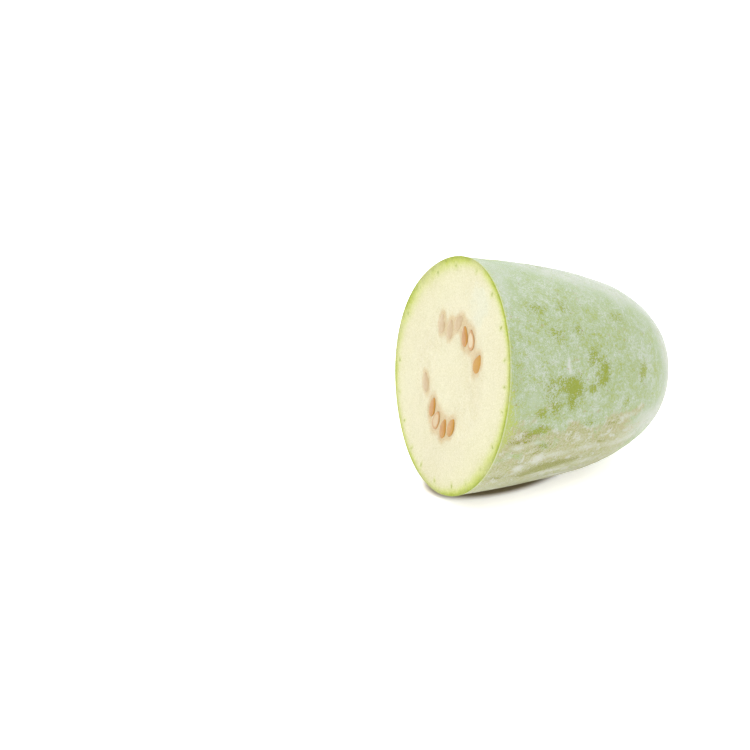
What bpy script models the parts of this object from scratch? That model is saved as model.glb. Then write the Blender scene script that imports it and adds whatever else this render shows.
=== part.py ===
"""Half of a wax gourd, lying on its side with its cut face towards -X and its blossom end towards +X.

The rind, the flesh and the pulp grew as one piece, so they are one solid. The seeds lie in shallow
pockets of the cut face, in three groups round its centre, and are fused to the flesh that they grow from.
Units are metres. +Z is up, and the origin is on the ground under the middle of the half.
"""

import math
import random

import bmesh
import bpy
from mathutils import Matrix, Vector, noise

# Size of the half
CUT_RADIUS = 0.0725  # mean radius of the cut face
AXIS_LENGTH = 0.1528  # from the cut face to the blossom end, along the gourd's own axis
TAPER = 0.191  # share of the radius that is lost along the axis before the end rounds over
DOME_POWER = 3.875  # how late the end rounds over
DOME_ROOT = 2.22  # how blunt the end is

# How it lies and how it was cut
AXIS_DROP = math.radians(10.07)  # the taper lets the blossom end sink this far
CUT_LEAN = math.radians(0.86)  # the knife leaned this much from square, seen from the side
CUT_SKEW = math.radians(3.86)  # and this much, seen from above
REST_DEPTH = 0.0006  # depth of the small flat that its weight presses on the ground

# Cross-section: waves round the axis, as (waves, share of the radius, phase in radians)
SECTION_WAVES = ((2, 0.0045, -2.08), (3, 0.0151, -0.26), (4, 0.0091, 0.91))
LUMP_HEIGHT = 0.0006
LUMP_SIZE = 0.034
LUMP_GROWTH = 8  # lumps reach their full height at this share of the length, one in 8, from the cut

# Blossom end: a shallow dimple with a corky scar in it
DIMPLE_DEPTH = 0.0022
DIMPLE_RADIUS = 0.011
SCAR_HEIGHT = 0.0012
SCAR_RADIUS = 0.0032
RELIEF_POWER = 8  # how fast the relief fades away from the end

# Seeds: groups as (first angle, step, count) in degrees round the cut face, from its far side (+Y) upwards
SEED_LENGTH = 0.0124
SEED_WIDTH = 0.0076
SEED_THICKNESS = 0.0030
SEED_NARROWING = 0.22  # how much slimmer its pointed end is
SEED_RING = 0.425  # the groups' distance from the centre, as a share of the cut radius
SEED_STRAY = 0.045  # and the most that a seed strays from it
SEED_GROUPS = ((50, 18.7, 4), (120, 28, 2), (247, 17, 4), (331, 0, 1))
SEED_LEAN = math.radians(34)  # most that a seed leans from upright, in the cut face
SEED_ROLL = math.radians(20)  # most that it turns about its long side, out of the cut face
SEED_PROUD = 0.0007
POCKET_MARGIN = 1.32  # size of a pocket against its seed
POCKET_DEPTH = 0.0011
DRAW_SEED = 66427

# Mesh
SEGMENTS = 72
RINGS = 34
SEED_SEGMENTS = 14
SEED_RINGS = 9
SHARP_ANGLE = math.radians(40)

# Colours (linear) and roughness
RIND_COLOUR = (0.50, 0.62, 0.38, 1)
FLESH_COLOUR = (0.90, 0.87, 0.66, 1)
SEED_COLOUR = (0.68, 0.39, 0.12, 1)
RIND_ROUGHNESS = 0.62
FLESH_ROUGHNESS = 0.42
SEED_ROUGHNESS = 0.38
RIND_SLOT, FLESH_SLOT, SEED_SLOT = 0, 1, 2


def section_factor(angle):
    """Share of the mean radius at this angle round the axis."""
    return 1 + sum(share * math.cos(waves * angle - phase) for waves, share, phase in SECTION_WAVES)


def profile_radius(along):
    """Mean radius at a share of the axis length: 0 is the cut face and 1 the blossom end."""
    return CUT_RADIUS * (1 - TAPER * along) * (1 - along**DOME_POWER) ** (1 / DOME_ROOT)


def end_relief(radius):
    """How far the blossom end stands out, or in where negative, at this distance from the axis."""
    dimple = -DIMPLE_DEPTH * math.exp(-((radius / DIMPLE_RADIUS) ** 2))
    scar = SCAR_HEIGHT * math.exp(-((radius / SCAR_RADIUS) ** 4))
    return dimple + scar


def cut_plane_x(y, z):
    """The cut face's place along the axis, at this point beside the axis."""
    return math.tan(CUT_LEAN) * z + math.tan(CUT_SKEW) * y


def skin_point(along, angle):
    """A point of the skin before the half is laid down: x runs along the axis from the cut face."""
    radius = profile_radius(along) * section_factor(angle)
    y, z = radius * math.cos(angle), radius * math.sin(angle)
    point = Vector((AXIS_LENGTH * along + cut_plane_x(y, z) * (1 - along), y, z))
    if along < 1:
        lump = LUMP_HEIGHT * noise.noise(point / LUMP_SIZE) * min(1, LUMP_GROWTH * along)
        point += Vector((0, y, z)).normalized() * lump
    point.x += end_relief(radius) * along**RELIEF_POWER
    return point


def new_material(name, colour, roughness):
    """A plain material, with the mean colour of its surface."""
    material = bpy.data.materials.new(name)
    material.use_nodes = True
    shader = material.node_tree.nodes["Principled BSDF"]
    shader.inputs["Base Color"].default_value = colour
    shader.inputs["Roughness"].default_value = roughness
    shader.inputs["Metallic"].default_value = 0
    return material


def new_object(name, shape, materials, collection=None):
    """Makes an object from a bmesh, and frees the bmesh."""
    mesh = bpy.data.meshes.new(name)
    bmesh.ops.recalc_face_normals(shape, faces=shape.faces)
    shape.to_mesh(mesh)
    shape.free()
    for material in materials:
        mesh.materials.append(material)
    made = bpy.data.objects.new(name, mesh)
    (collection or bpy.context.scene.collection).objects.link(made)
    return made


def gourd_shape():
    """The skin as rings round the axis, closed by the flat cut face and by a point at the blossom end."""
    shape = bmesh.new()
    angles = [math.tau * i / SEGMENTS for i in range(SEGMENTS)]
    shares = [math.sin(math.pi / 2 * i / RINGS) for i in range(RINGS)]
    rings = [[shape.verts.new(skin_point(share, angle)) for angle in angles] for share in shares]
    for ring, following in zip(rings, rings[1:]):
        for i in range(SEGMENTS):
            j = (i + 1) % SEGMENTS
            shape.faces.new((ring[i], ring[j], following[j], following[i]))
    tip = shape.verts.new(skin_point(1, 0))
    for i in range(SEGMENTS):
        shape.faces.new((rings[-1][i], rings[-1][(i + 1) % SEGMENTS], tip))
    cut_face = shape.faces.new(rings[0])
    cut_face.material_index = FLESH_SLOT
    return shape


def seed_shape():
    """A flat seed that narrows to a blunt point at its +Y end, as turned rings flattened across X."""
    shape = bmesh.new()
    rings = []
    for i in range(1, SEED_RINGS):
        turn = math.pi * i / SEED_RINGS
        end = -math.cos(turn)
        girth = math.sin(turn) * (1 - SEED_NARROWING * end)
        rings.append([
            shape.verts.new((
                SEED_THICKNESS / 2 * girth * math.sin(math.tau * j / SEED_SEGMENTS),
                SEED_LENGTH / 2 * end,
                SEED_WIDTH / 2 * girth * math.cos(math.tau * j / SEED_SEGMENTS),
            ))
            for j in range(SEED_SEGMENTS)
        ])
    ends = (shape.verts.new((0, -SEED_LENGTH / 2, 0)), shape.verts.new((0, SEED_LENGTH / 2, 0)))
    for ring, following in zip(rings, rings[1:]):
        for i in range(SEED_SEGMENTS):
            j = (i + 1) % SEED_SEGMENTS
            shape.faces.new((ring[i], ring[j], following[j], following[i]))
    for end, ring in zip(ends, (rings[0], rings[-1])):
        for i in range(SEED_SEGMENTS):
            shape.faces.new((ring[i], ring[(i + 1) % SEED_SEGMENTS], end))
    for face in shape.faces:
        face.material_index = SEED_SLOT
    return shape


def cut_face_frame():
    """Turns and moves a piece from the X = 0 plane onto the cut face."""
    normal = Vector((-1, math.tan(CUT_SKEW), math.tan(CUT_LEAN))).normalized()
    return Vector((-1, 0, 0)).rotation_difference(normal).to_matrix().to_4x4()


def seed_places():
    """Each seed's place on the cut face: how far along +Y and +Z from the centre, its lean and its roll."""
    draw = random.Random(DRAW_SEED)
    places = []
    for first, step, count in SEED_GROUPS:
        for i in range(count):
            distance = CUT_RADIUS * (SEED_RING + draw.uniform(-SEED_STRAY, SEED_STRAY))
            angle = math.radians(first + step * i)
            lean = draw.uniform(-SEED_LEAN, SEED_LEAN)
            roll = draw.uniform(-SEED_ROLL, SEED_ROLL)
            places.append((distance * math.cos(angle), distance * math.sin(angle), lean, roll))
    return places


def add_to_cut_face(body, kind, shape_of, operation, lift):
    """Joins or cuts one piece for each seed place, and applies it as one Boolean."""
    collection = bpy.data.collections.new(kind)
    bpy.context.scene.collection.children.link(collection)
    for number, (y, z, lean, roll) in enumerate(seed_places(), start=1):
        piece = new_object(f"{kind}_{number:02d}", shape_of(), body.data.materials, collection)
        place = (
            cut_face_frame()
            @ Matrix.Translation((-lift, y, z))
            @ Matrix.Rotation(math.pi / 2 + lean, 4, "X")
            @ Matrix.Rotation(roll, 4, "Y")
        )
        piece.data.transform(place)
    modifier = body.modifiers.new(kind, "BOOLEAN")
    modifier.operand_type = "COLLECTION"
    modifier.collection = collection
    modifier.operation = operation
    modifier.solver = "MANIFOLD"
    modifier.material_mode = "TRANSFER"
    bpy.context.view_layer.update()
    body.data = bpy.data.meshes.new_from_object(body.evaluated_get(bpy.context.evaluated_depsgraph_get()))
    body.modifiers.clear()
    for piece in list(collection.objects):
        bpy.data.objects.remove(piece)
    bpy.data.collections.remove(collection)


def pocket_shape():
    """A flat ball, a little larger than a seed, that leaves a shallow hollow in the cut face."""
    shape = bmesh.new()
    bmesh.ops.create_icosphere(shape, subdivisions=2, radius=0.5)
    size = Vector((2 * POCKET_DEPTH, SEED_LENGTH * POCKET_MARGIN, SEED_WIDTH * POCKET_MARGIN))
    bmesh.ops.scale(shape, vec=size, verts=shape.verts)
    for face in shape.faces:
        face.material_index = FLESH_SLOT
    return shape


def lay_down(body):
    """Lowers the blossom end, presses a small flat on the ground, and puts the origin under the middle."""
    body.data.transform(Matrix.Rotation(AXIS_DROP, 4, "Y"))
    lowest = min(vertex.co.z for vertex in body.data.vertices)
    body.data.transform(Matrix.Translation((0, 0, -lowest - REST_DEPTH)))
    for vertex in body.data.vertices:
        vertex.co.z = max(vertex.co.z, 0)
    xs = [vertex.co.x for vertex in body.data.vertices]
    ys = [vertex.co.y for vertex in body.data.vertices]
    middle = ((min(xs) + max(xs)) / 2, (min(ys) + max(ys)) / 2)
    body.data.transform(Matrix.Translation((-middle[0], -middle[1], 0)))


def main():
    for old in list(bpy.data.objects):
        bpy.data.objects.remove(old)
    materials = [
        new_material("rind", RIND_COLOUR, RIND_ROUGHNESS),
        new_material("flesh", FLESH_COLOUR, FLESH_ROUGHNESS),
        new_material("seeds", SEED_COLOUR, SEED_ROUGHNESS),
    ]
    gourd = new_object("wax_gourd_half", gourd_shape(), materials)
    add_to_cut_face(gourd, "pocket", pocket_shape, "DIFFERENCE", 0)
    add_to_cut_face(gourd, "seed", seed_shape, "UNION", SEED_PROUD - SEED_THICKNESS / 2)
    lay_down(gourd)
    gourd.data.shade_smooth()
    gourd.data.set_sharp_from_angle(angle=SHARP_ANGLE)


main()
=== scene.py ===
"""The looks of half a wax gourd: its waxy skin, its cut face with rind, flesh and pulp, and its bared seeds.

Units are metres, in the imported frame: +X runs from the cut face to the blossom end, and Z = 0 is the ground.
Places on the skin are given as a share of the gourd's length from the cut, and as an angle round its axis,
counted from the far side (+Y) upwards. Places on the cut face are given by their depth under the skin.
"""

import math
import random

import bpy
import numpy as np
from mathutils import Matrix, Vector, noise

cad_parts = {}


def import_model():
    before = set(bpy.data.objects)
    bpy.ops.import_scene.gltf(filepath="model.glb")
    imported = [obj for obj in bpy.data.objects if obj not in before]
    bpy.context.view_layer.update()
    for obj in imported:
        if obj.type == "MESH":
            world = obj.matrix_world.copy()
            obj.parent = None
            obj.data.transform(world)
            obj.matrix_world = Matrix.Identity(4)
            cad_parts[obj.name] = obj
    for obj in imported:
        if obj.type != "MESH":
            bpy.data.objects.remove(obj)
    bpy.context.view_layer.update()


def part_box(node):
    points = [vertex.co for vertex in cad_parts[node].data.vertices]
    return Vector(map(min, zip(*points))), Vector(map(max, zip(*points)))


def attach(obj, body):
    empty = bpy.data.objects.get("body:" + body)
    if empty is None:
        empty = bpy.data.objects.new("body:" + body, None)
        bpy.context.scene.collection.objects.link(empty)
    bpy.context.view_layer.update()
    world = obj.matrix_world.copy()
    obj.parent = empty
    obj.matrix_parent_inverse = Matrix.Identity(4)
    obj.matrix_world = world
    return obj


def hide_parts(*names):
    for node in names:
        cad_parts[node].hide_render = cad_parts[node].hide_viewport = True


NODE = "wax_gourd_half"
MM = 0.001

# The half's form, as its solid has it
CUT_RADIUS = 0.0725
AXIS_LENGTH = 0.1528
TAPER = 0.191
DOME_POWER = 3.875
DOME_ROOT = 2.22
AXIS_DROP = math.radians(10.07)
CUT_LEAN = math.radians(0.86)
CUT_SKEW = math.radians(3.86)
REST_DEPTH = 0.0006
SECTION_WAVES = ((2, 0.0045, -2.08), (3, 0.0151, -0.26), (4, 0.0091, 0.91))
LUMP_HEIGHT = 0.0006
LUMP_SIZE = 0.034
LUMP_GROWTH = 8
DIMPLE_DEPTH = 0.0022
DIMPLE_RADIUS = 0.011

# The seeds' places, as the solid has them
SEED_LENGTH = 0.0124
SEED_WIDTH = 0.0076
SEED_THICKNESS = 0.0030
SEED_NARROWING = 0.22
SEED_RING = 0.425
SEED_STRAY = 0.045
SEED_GROUPS = ((50, 18.7, 4), (120, 28, 2), (247, 17, 4), (331, 0, 1))
SEED_LEAN = math.radians(34)
SEED_ROLL = math.radians(20)
POCKET_MARGIN = 1.32
DRAW_SEED = 66427

# Detail of a seed
SEED_MARGIN = (0.90, 0.055)  # where its raised margin runs and how wide, as shares of its half size
SEED_RIDGE = 0.09 * MM
SEED_UNEVEN = 0.018  # how far its outline strays
SEED_WAVES = (2, 3, 4)  # in how many waves it does so
SEED_FLATNESS = 0.36  # the power that its roundness is raised to: less makes its faces flatter
SEED_SLICE = 0.4 * MM  # what the knife took off a cut one
SEED_TONES = (0.25, 0.8)
SEED_DRAW = 100

# What each seed looks like, in the order of their places, and how far it stands out of the cut face
SEED_KINDS = (
    "veiled", "veiled", "veiled", "whole", "cut", "whole",
    "whole", "whole", "cut", "whole", "veiled",
)
SEED_PROUD = {"whole": 0.20 * MM, "cut": 0.06 * MM, "veiled": 0.20 * MM}
ROLL_SHARE = 0.3  # of the solid's: the knife left the seeds flatter

# The camera, as the photograph was taken
CAMERA_AZIMUTH = math.radians(-27.93)
CAMERA_ELEVATION = math.radians(24.02)
CAMERA_DISTANCE = 1.1828
CAMERA_TARGET = Vector((-0.0800, 0.0723, 0.0494))
SENSOR_WIDTH = 36.0
PICTURE_WIDTH = 750
FOCAL_PIXELS = 1860

# Light, and how bright it makes the skin and the cut face
SKY_COLOUR = (1.0, 1.0, 1.0, 1)
BACKDROP_STRENGTH = 1.0  # what the camera sees beyond the floor
SKY_EDGE = 0.40  # strength at the horizon
SKY_TOP = 2.15
SKY_HEIGHT = 0.8
LAMP_PLACE = Vector((-0.9, -0.5, 1.2))
LAMP_AIM = Vector((0, 0, 0.05))
LAMP_SIZE = 1.4
LAMP_POWER = 7
FLOOR_SIZE = 30
FLOOR_LEVEL = -0.0001
FLOOR_COLOUR = (0.86, 0.84, 0.82, 1)
# Painted shadow on the floor under the half: its brown, and the oval where the glow gives way to it
SHADE_COLOUR = (0.46, 0.37, 0.24, 1)
SHADE_MIDDLE = Vector((-0.034, 0, 0))  # of the oval round which the floor's own glow starts
SHADE_HALF = Vector((0.041, 0.021, 1))
SHADE_EDGE = (1.0, 1.35)
FLOOR_GLOW = 0.5
SKIN_LIGHT = 1.97
FLESH_LIGHT = 2.06

# Fineness of the meshes
SEGMENTS = 340
SKIN_RINGS = 184
PROFILE_SAMPLES = 3000
CUT_ZONES = ((7.5, 0.55), (26.5, 1.4), (52, 0.56), (71.5, 1.8))  # down to a depth, by steps, in mm
RIM_TURNS = (30, 60)  # rows of the rounded rim, as degrees turned from the cut face to the skin
SCAR_ROWS = 26
SCAR_TURNS = 90
SEED_TURNS = 44
SEED_ROWS = 12

# Relief of the skin
EDGE_ROUND = 0.3 * MM
SKIN_INSET = 0.10 * MM
WAVE_HEIGHT = 0.26 * MM
WAVE_SIZE = 14 * MM
GRAIN_HEIGHT = 0.03 * MM
GRAIN_SIZE = 2.6 * MM
RELIEF_START = 3 * MM  # how far from the cut the relief is full
CREASES = 13
CREASE_DEPTH = 0.3 * MM
CREASE_REACH = (0.93, 0.995)
CREASE_SHARPNESS = 4
CREASE_NOISE = 4
CREASE_WANDER = 5
DENTS = (
    (0.746, 132.5, 5.0, 1.6, 0.35), (0.801, 131.5, 5.0, 1.3, 0.45), (0.860, 130.5, 5.0, 1.6, 0.35),
    (0.283, 155.0, 5.0, 1.0, 0.25), (0.520, 300.0, 9.0, 5.0, 0.40), (0.300, 20.0, 6.0, 9.0, 0.35),
)  # share of length, angle, half length, half width and depth, in mm

# Relief of the cut face
FLESH_SAG = 0.15 * MM
FLESH_SAG_DEPTH = 6 * MM
PULP_RING = (0.28, 0.58)
PULP_EDGE = 0.05
PULP_SAG = 0.25 * MM
PULP_ROUGH = 0.22 * MM
PULP_GRAIN = 3.4 * MM
KNIFE_ANGLE = math.radians(62)
KNIFE_STEP = 4.2 * MM
KNIFE_WANDER = 22 * MM
KNIFE_STRAY = 3
KNIFE_MARK = 0.02 * MM
VEIL_BULGE = 0.22 * MM
VEIL_EDGE = (0.5, 1.5)
POCKET_HOLLOW = {"whole": 0.20 * MM, "cut": 0.10 * MM}
POCKET_FLOOR = 0.85
POCKET_LIP = 0.04 * MM
POCKET_LIP_WIDTH = 0.12

# The corky scar at the blossom end
SCAR_SIZE = 4.4 * MM
SCAR_RISE = 1.15 * MM
SCAR_POWER = 4
SCAR_SEAT = 0.5 * MM
SCAR_ROUGH = 0.35 * MM
SCAR_GRAIN = 1.1 * MM
SCAR_THICKNESS = 0.4 * MM
SCAR_OUTLINE = ((3, 1, 0.08), (7, 0, 0.05))  # waves round it, their phase and their height
SCAR_FURROWS = (9, 2, 3, 0.3)  # how many, how they wander, how narrow and how deep
SCAR_TIP = 0.8  # height of its middle, as a share of its rise

# Marks on the skin
# Rubbed bare of bloom: (share of length, angle, half length in mm, half width in mm, how bare)
WORN_MARKS = (
    (0.3, 165.5, 4.8, 4.6, 1.5), (0.307, 174, 3, 3.6, 0.85), (0.345, 169.5, 2.6, 2.6, 0.6),
    (0.25, 163.5, 3, 3, 0.6), (0.232, 175.5, 3, 3.4, 0.82), (0.192, 164, 4, 3.4, 0.5),
    (0.205, 170.5, 5, 4, 0.42), (0.166, 178.5, 3, 2.2, 0.72), (0.41, 167.5, 3.6, 2.6, 0.7),
    (0.431, 161.5, 2.4, 3, 0.5), (0.468, 157.5, 2.5, 4.6, 1.15), (0.46, 163.5, 3, 2.8, 0.95),
    (0.425, 152, 2.4, 3, 0.6), (0.395, 152.5, 2.4, 3.4, 0.66), (0.412, 149, 3, 1.8, 0.55),
    (0.683, 158.5, 2.6, 3.6, 0.95), (0.674, 164, 1.8, 3, 0.55), (0.3, 125.5, 4.5, 2.5, 0.5),
    (0.154, 126.5, 5.5, 3, 0.5), (0.235, 139.5, 3.5, 3.5, 0.52), (0.337, 137.5, 3, 2.5, 0.58),
    (0.56, 128, 5, 3, 0.42), (0.182, 186.5, 4, 2.2, 0.88), (0.147, 188.5, 4, 1.8, 0.82),
    (0.108, 189, 3, 1.2, 0.6), (0.1, 192.5, 7, 0.9, 0.95), (0.216, 196.5, 4.5, 1.3, 0.95),
    (0.197, 200.5, 3, 1.2, 0.78), (0.19, 218.5, 5, 1.8, 0.95), (0.243, 216.5, 6, 3, 1.35),
    (0.285, 214, 6, 3.2, 1.5), (0.322, 212.4, 5.5, 2.6, 1.4), (0.38, 211.6, 7, 1.9, 1.25),
    (0.388, 204.5, 2, 1.2, 0.72), (0.143, 207, 3, 1.5, 0.75), (0.069, 216.5, 5, 2, 0.6),
    (0.35, 226, 6, 1.5, 0.6), (0.42, 186.5, 5, 1.2, 0.6), (0.524, 188.5, 5, 1.1, 0.6),
    (0.507, 200.5, 4.5, 0.8, 0.9), (0.601, 177.5, 2, 2.5, 0.55),
)
# Thick with wax, the same columns. The broad marks along the top, round the far end and low on the near side
# are partly thick bloom and partly a painted highlight where the skin's outline catches the light; the small
# ones are wax alone
WAX_AND_HIGHLIGHT_MARKS = (
    (0.33, 90, 22, 12, 0.62), (0.5, 89, 26, 15, 1.3), (0.72, 97, 24, 15, 1.3),
    (0.86, 125, 10, 20, 0.45), (0.93, 155, 13, 34, 1.1), (0.79, 198, 20, 8, 1),
    (0.02, 100, 12, 20, 0.55), (0.281, 152.5, 0.9, 2.4, 1.05), (0.279, 155.3, 0.8, 1, 0.9),
    (0.286, 158.2, 0.9, 2.4, 1.05), (0.216, 205.5, 3.4, 3.2, 1.6), (0.147, 210.5, 3, 2.8, 1.5),
    (0.096, 196, 4.5, 1.6, 0.85), (0.13, 172, 6, 4, 0.35), (0.17, 194, 4, 1.2, 0.6),
    (0.296, 203.5, 7, 2.2, 0.7), (0.438, 203, 9, 2.2, 0.6), (0.32, 219.5, 10, 1.4, 0.95),
    (0.41, 229, 9, 2.2, 0.85), (0.5, 216, 9, 2, 0.6), (0.62, 186, 6, 1.6, 0.6),
    (0.64, 205, 14, 2, 0.6),
)
MARK_LIMIT = 1.2
# Marks drawn at random where the photograph doesn't show the skin: where, how many of each kind, the seed
# of their draw, and ranges of their half lengths, half widths and strengths
HIDDEN_PLACES = ((0.05, 0.97), (228, 448))
HIDDEN_WORN = (26, 11, (3, 9), (1.5, 6), (0.35, 0.75))
HIDDEN_WAX = (12, 12, (4, 18), (3, 9), (0.3, 0.7))

# The tan side that lay on the ground: the angle of its middle, where it fades out on both sides and along
# the length, and how ragged its edges are
GROUND_SIDE = math.radians(262)
GROUND_WIDTH = (1.14, 1.48)
GROUND_END = (0.55, 0.95)
GROUND_RAGGED = 0.34
GROUND_END_RAGGED = 1 / 3
GROUND_NOISE = (3, 2, 0.5)  # scale along the length, scale round the axis, and size

# The scraped strip of skin beside the cut: its reach in mm, and how much further it reaches round one angle
RIM_REACH = 1.3
RIM_EXTRA = 7.0
RIM_LOBE = (181, 12)

# How the flesh is coloured: by how far the green reaches in, with painted shade and reflected green light at
# two angles, by a painted highlight, and by the seeds' stains with painted shade round them
# At these angles the green reaches deeper, partly in the rind and partly as painted shade and green light
# reflected onto the cut face
GREEN_AND_SHADE_LOBES = ((34, 48, 1.6), (212, 26, 1.0))  # angle, half width in degrees, and how much deeper
# A painted highlight on the wet cut face: its place, size and the depth where it starts
PAINTED_HIGHLIGHT_PLACE = (-0.019, 0.051)  # along +Y and +Z from the centre of the cut face
PAINTED_HIGHLIGHT_HALF = (0.013, 0.021)
PAINTED_HIGHLIGHT_DEPTH = (5 * MM, 11 * MM)
# Round each seed: its stain, with the shade of its pocket painted in
STAIN_AND_SHADE_START = {"whole": 0.95, "cut": 0.95, "veiled": 0.8}
STAIN_AND_SHADE_STRENGTH = {"whole": 0.95, "cut": 0.9, "veiled": 1.0}
STAIN_AND_SHADE_REACH = {"whole": 0.75, "cut": 0.95, "veiled": 0.75}

# Colours, as 8-bit values, as they look in the photograph
BLOOM_TINTS = (
    (0.00, (154, 169, 30)), (0.15, (169, 184, 72)), (0.30, (180, 198, 130)),
    (0.44, (185, 204, 158)), (0.60, (197, 212, 178)), (0.80, (211, 221, 200)),
    (1.00, (226, 230, 218)),
)
GROUND_TINTS = (
    (0.00, (148, 147, 2)), (0.18, (170, 170, 56)), (0.38, (195, 195, 143)),
    (0.58, (208, 206, 168)), (0.85, (218, 217, 189)),
)
TORN_TINT = (189, 177, 106)
BLOTCH_TINT = (234, 236, 226)
RIM_TINT = (198, 212, 98)
# Partly broken wax and partly a painted highlight along the rim's edge
EDGE_WAX_AND_HIGHLIGHT_TINT = (230, 235, 200)
SPECK_TINT = (166, 124, 88)
TEAR_TINT = (197, 172, 132)
WAX_TINT = (226, 231, 221)
FLESH_RAMP_DEPTH = 16.0
# The flesh itself is white: the cream of these tints is painted shade and warm light reflected onto the cut
# face
FLESH_TINTS = (
    (0.0, (160, 178, 18)), (0.6, (170, 187, 26)), (1.2, (189, 204, 60)),
    (1.9, (205, 216, 100)), (2.8, (221, 227, 142)), (4.0, (231, 232, 174)),
    (5.6, (238, 235, 192)), (8.0, (241, 238, 199)), (15.0, (242, 238, 203)),
)
PULP_TINT = (236, 229, 194)
PAINTED_HIGHLIGHT_TINT = (236, 242, 224)
# The seeds' stain, with the painted shade of their pockets
STAIN_AND_SHADE_TINT = (221, 194, 146)
STRAND_TINT = (168, 186, 70)
STRAND_HALO = (220, 225, 148)
CORK_TINTS = ((0.3, (104, 86, 56)), (0.5, (156, 136, 98)), (0.72, (196, 182, 146)))
# Of each kind of seed: dark, middle and light tones of its coat, and its margin
SEED_TINTS = {
    "whole": ((198, 129, 6), (206, 143, 10), (217, 161, 30), (220, 160, 40)),
    "cut": ((226, 198, 146), (232, 206, 158), (238, 218, 178), (212, 154, 74)),
    "veiled": ((208, 176, 122), (216, 187, 136), (225, 201, 156), (219, 192, 144)),
}
SEED_RIMS = {"whole": (0.84, 0.93), "cut": (0.62, 0.78), "veiled": (0.80, 0.95)}

# Noises of the rind: size, detail and roughness of each
RIND_NOISES = {
    "large": (19 * MM, 3, 0.5), "middle": (5.2 * MM, 4, 0.6), "fine": (1.5 * MM, 3, 0.65),
    "dust": (0.5 * MM, 2, 0.7),
}
STREAK_NOISE = (3.4 * MM, 4, 0.62)
STREAK_STRETCH = 0.75
# The bloom: its middle, and how much flakes and marks change it
BLOOM_MIDDLE = 0.47
FLAKE_SIZE = 2.6 * MM
BLOOM_FLAKES = 0.08
BLOOM_WORN = -0.38
BLOOM_WEAR = -0.16
BLOOM_WAX_AND_HIGHLIGHT = 0.42
# The flecks that marks break up into at their edges, and where each kind of mark fades in among them
FLECK_RANGE = (0.425, 0.575, 0.08, 0.92)
WORN_RANGE = (-0.16, 0.24)
WAX_AND_HIGHLIGHT_RANGE = (-0.20, 0.25)
RIM_RANGE = (-0.25, 0.20)
RIM_COVER = 0.85
# The whitish line beside the cut, partly a broken edge of wax and partly a painted highlight along the rounded
# rim: where it fades in and out, in mm, and how noise breaks it up
EDGE_WAX_AND_HIGHLIGHT_LINE = ((0.4, 0.7), (1.5, 1.0), (0.35, 0.55, 0.2, 0.8))
# The ground side: its edge, its tones, the torn skin in it and the blotches of bloom on it
GROUND_RANGE = (0.34, 0.78, 0.0, 0.85)
GROUND_WORN = -0.72
TORN_RANGE = (0.045, 0.11)
TORN_COVER = (0.0, 0.8, 0.70, 0.15)  # against how rubbed the skin is
BLOTCH_RANGE = (0.04, 0.16)
BLOTCH_COVER = (0.1, 0.8, 0.60, 0.04)  # the same
BLOTCH_WAX_RANGE = (0.35, 0.95)
BLOTCH_WAX_COVER = 0.80
BLOTCH_LIMIT = 0.95
# Corky tears, in fields of their own
TEAR_NOISE = (2.2 * MM, 3, 0.6)
TEAR_STRETCH = 2.2
TEAR_RANGE = (0.64, 0.69)
TEAR_FIELDS = (17 * MM, 2)
TEAR_FIELD_RANGE = (0.46, 0.56)
TEAR_COVER = 0.55
# Round marks: spacing, where each fades in, where the middle noise lets them be, and cover
SPECKS = (6.5 * MM, (0.095, 0.050), (0.48, 0.53), 0.85)
WAX_GRAINS = (2.9 * MM, (0.15, 0.08), (0.52, 0.58), 0.6)
SCRATCH_TURNS = ((0.0, 0.5, 0.4), (0.0, -0.7, -0.3), (0.3, 1.2, 0.8))
SCRATCH_SPACING = 3.2 * MM
SCRATCH_STRETCH = 26
SCRATCH_EDGE = (0.075, 0.035)
SCRATCH_COVER = 0.42

# Noises of the flesh, and how its pulp, its painted highlight and its stains with their painted shade fade in
FLESH_NOISES = {
    "broad": (30 * MM, 2, 0.5), "cloud": (9 * MM, 3, 0.5), "green": (5 * MM, 2, 0.5),
    "stain": (3.4 * MM, 3, 0.5), "grain": (1.4 * MM, 3, 0.6), "dust": (0.6 * MM, 2, 0.6),
}
PULP_RANGE = (0.36, 0.60, 0.35, 1.0)
PULP_COVER = 0.55
BROAD_RANGE = (0.42, 0.64)
BROAD_COVER = 0.35
PAINTED_HIGHLIGHT_RANGE = (0.20, 1.05, 0.0, 0.48)
STAIN_AND_SHADE_RANGE = (0.15, 0.95)
STAIN_AND_SHADE_COVER = 0.8
SPECKLE_COLOURS = ((0.2, (0.25, 0.22, 0.12, 1)), (0.8, (1, 1, 0.92, 1)))
SPECKLE_COVER = 0.36

# Vascular strands, which the cut shows as dots: angles round the cut face, and in mm their depth and how
# much it varies, their spacing and their half widths
STRAND_ANGLES = (14, 33, 54.4, 74.7, 96.6, 116, 134.9, 151.6, 164.9, 177.3)
STRAND_ANGLES += (197.6, 214, 231, 246, 265, 282, 296, 313, 330, 347)
STRAND_DEPTH = 5.6
STRAND_STRAY = 1.6
STRAND_SPACING = 21.0
STRAND_SIZE = (1.1, 1.6)
HALO_EDGE = (2.8, 0.8, 0.0, 0.55)
DOT_EDGE = (1.15, 0.30)
DOT_COVER = (0.0, 1.0, 0.40, 0.95)

# Noises of the seeds and of the scar
SEED_NOISES = {"wrinkles": (0.9 * MM, 4, 0.6), "blotches": (2.6 * MM, 3, 0.5)}
SEED_TONE_PLACES = (0.05, 0.5, 0.95)
SEED_RIM_COVER = 0.8
CORK_NOISES = {"blotches": (1.8 * MM, 4, 0.6), "fine": (0.4 * MM, 3, 0.6)}


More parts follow.
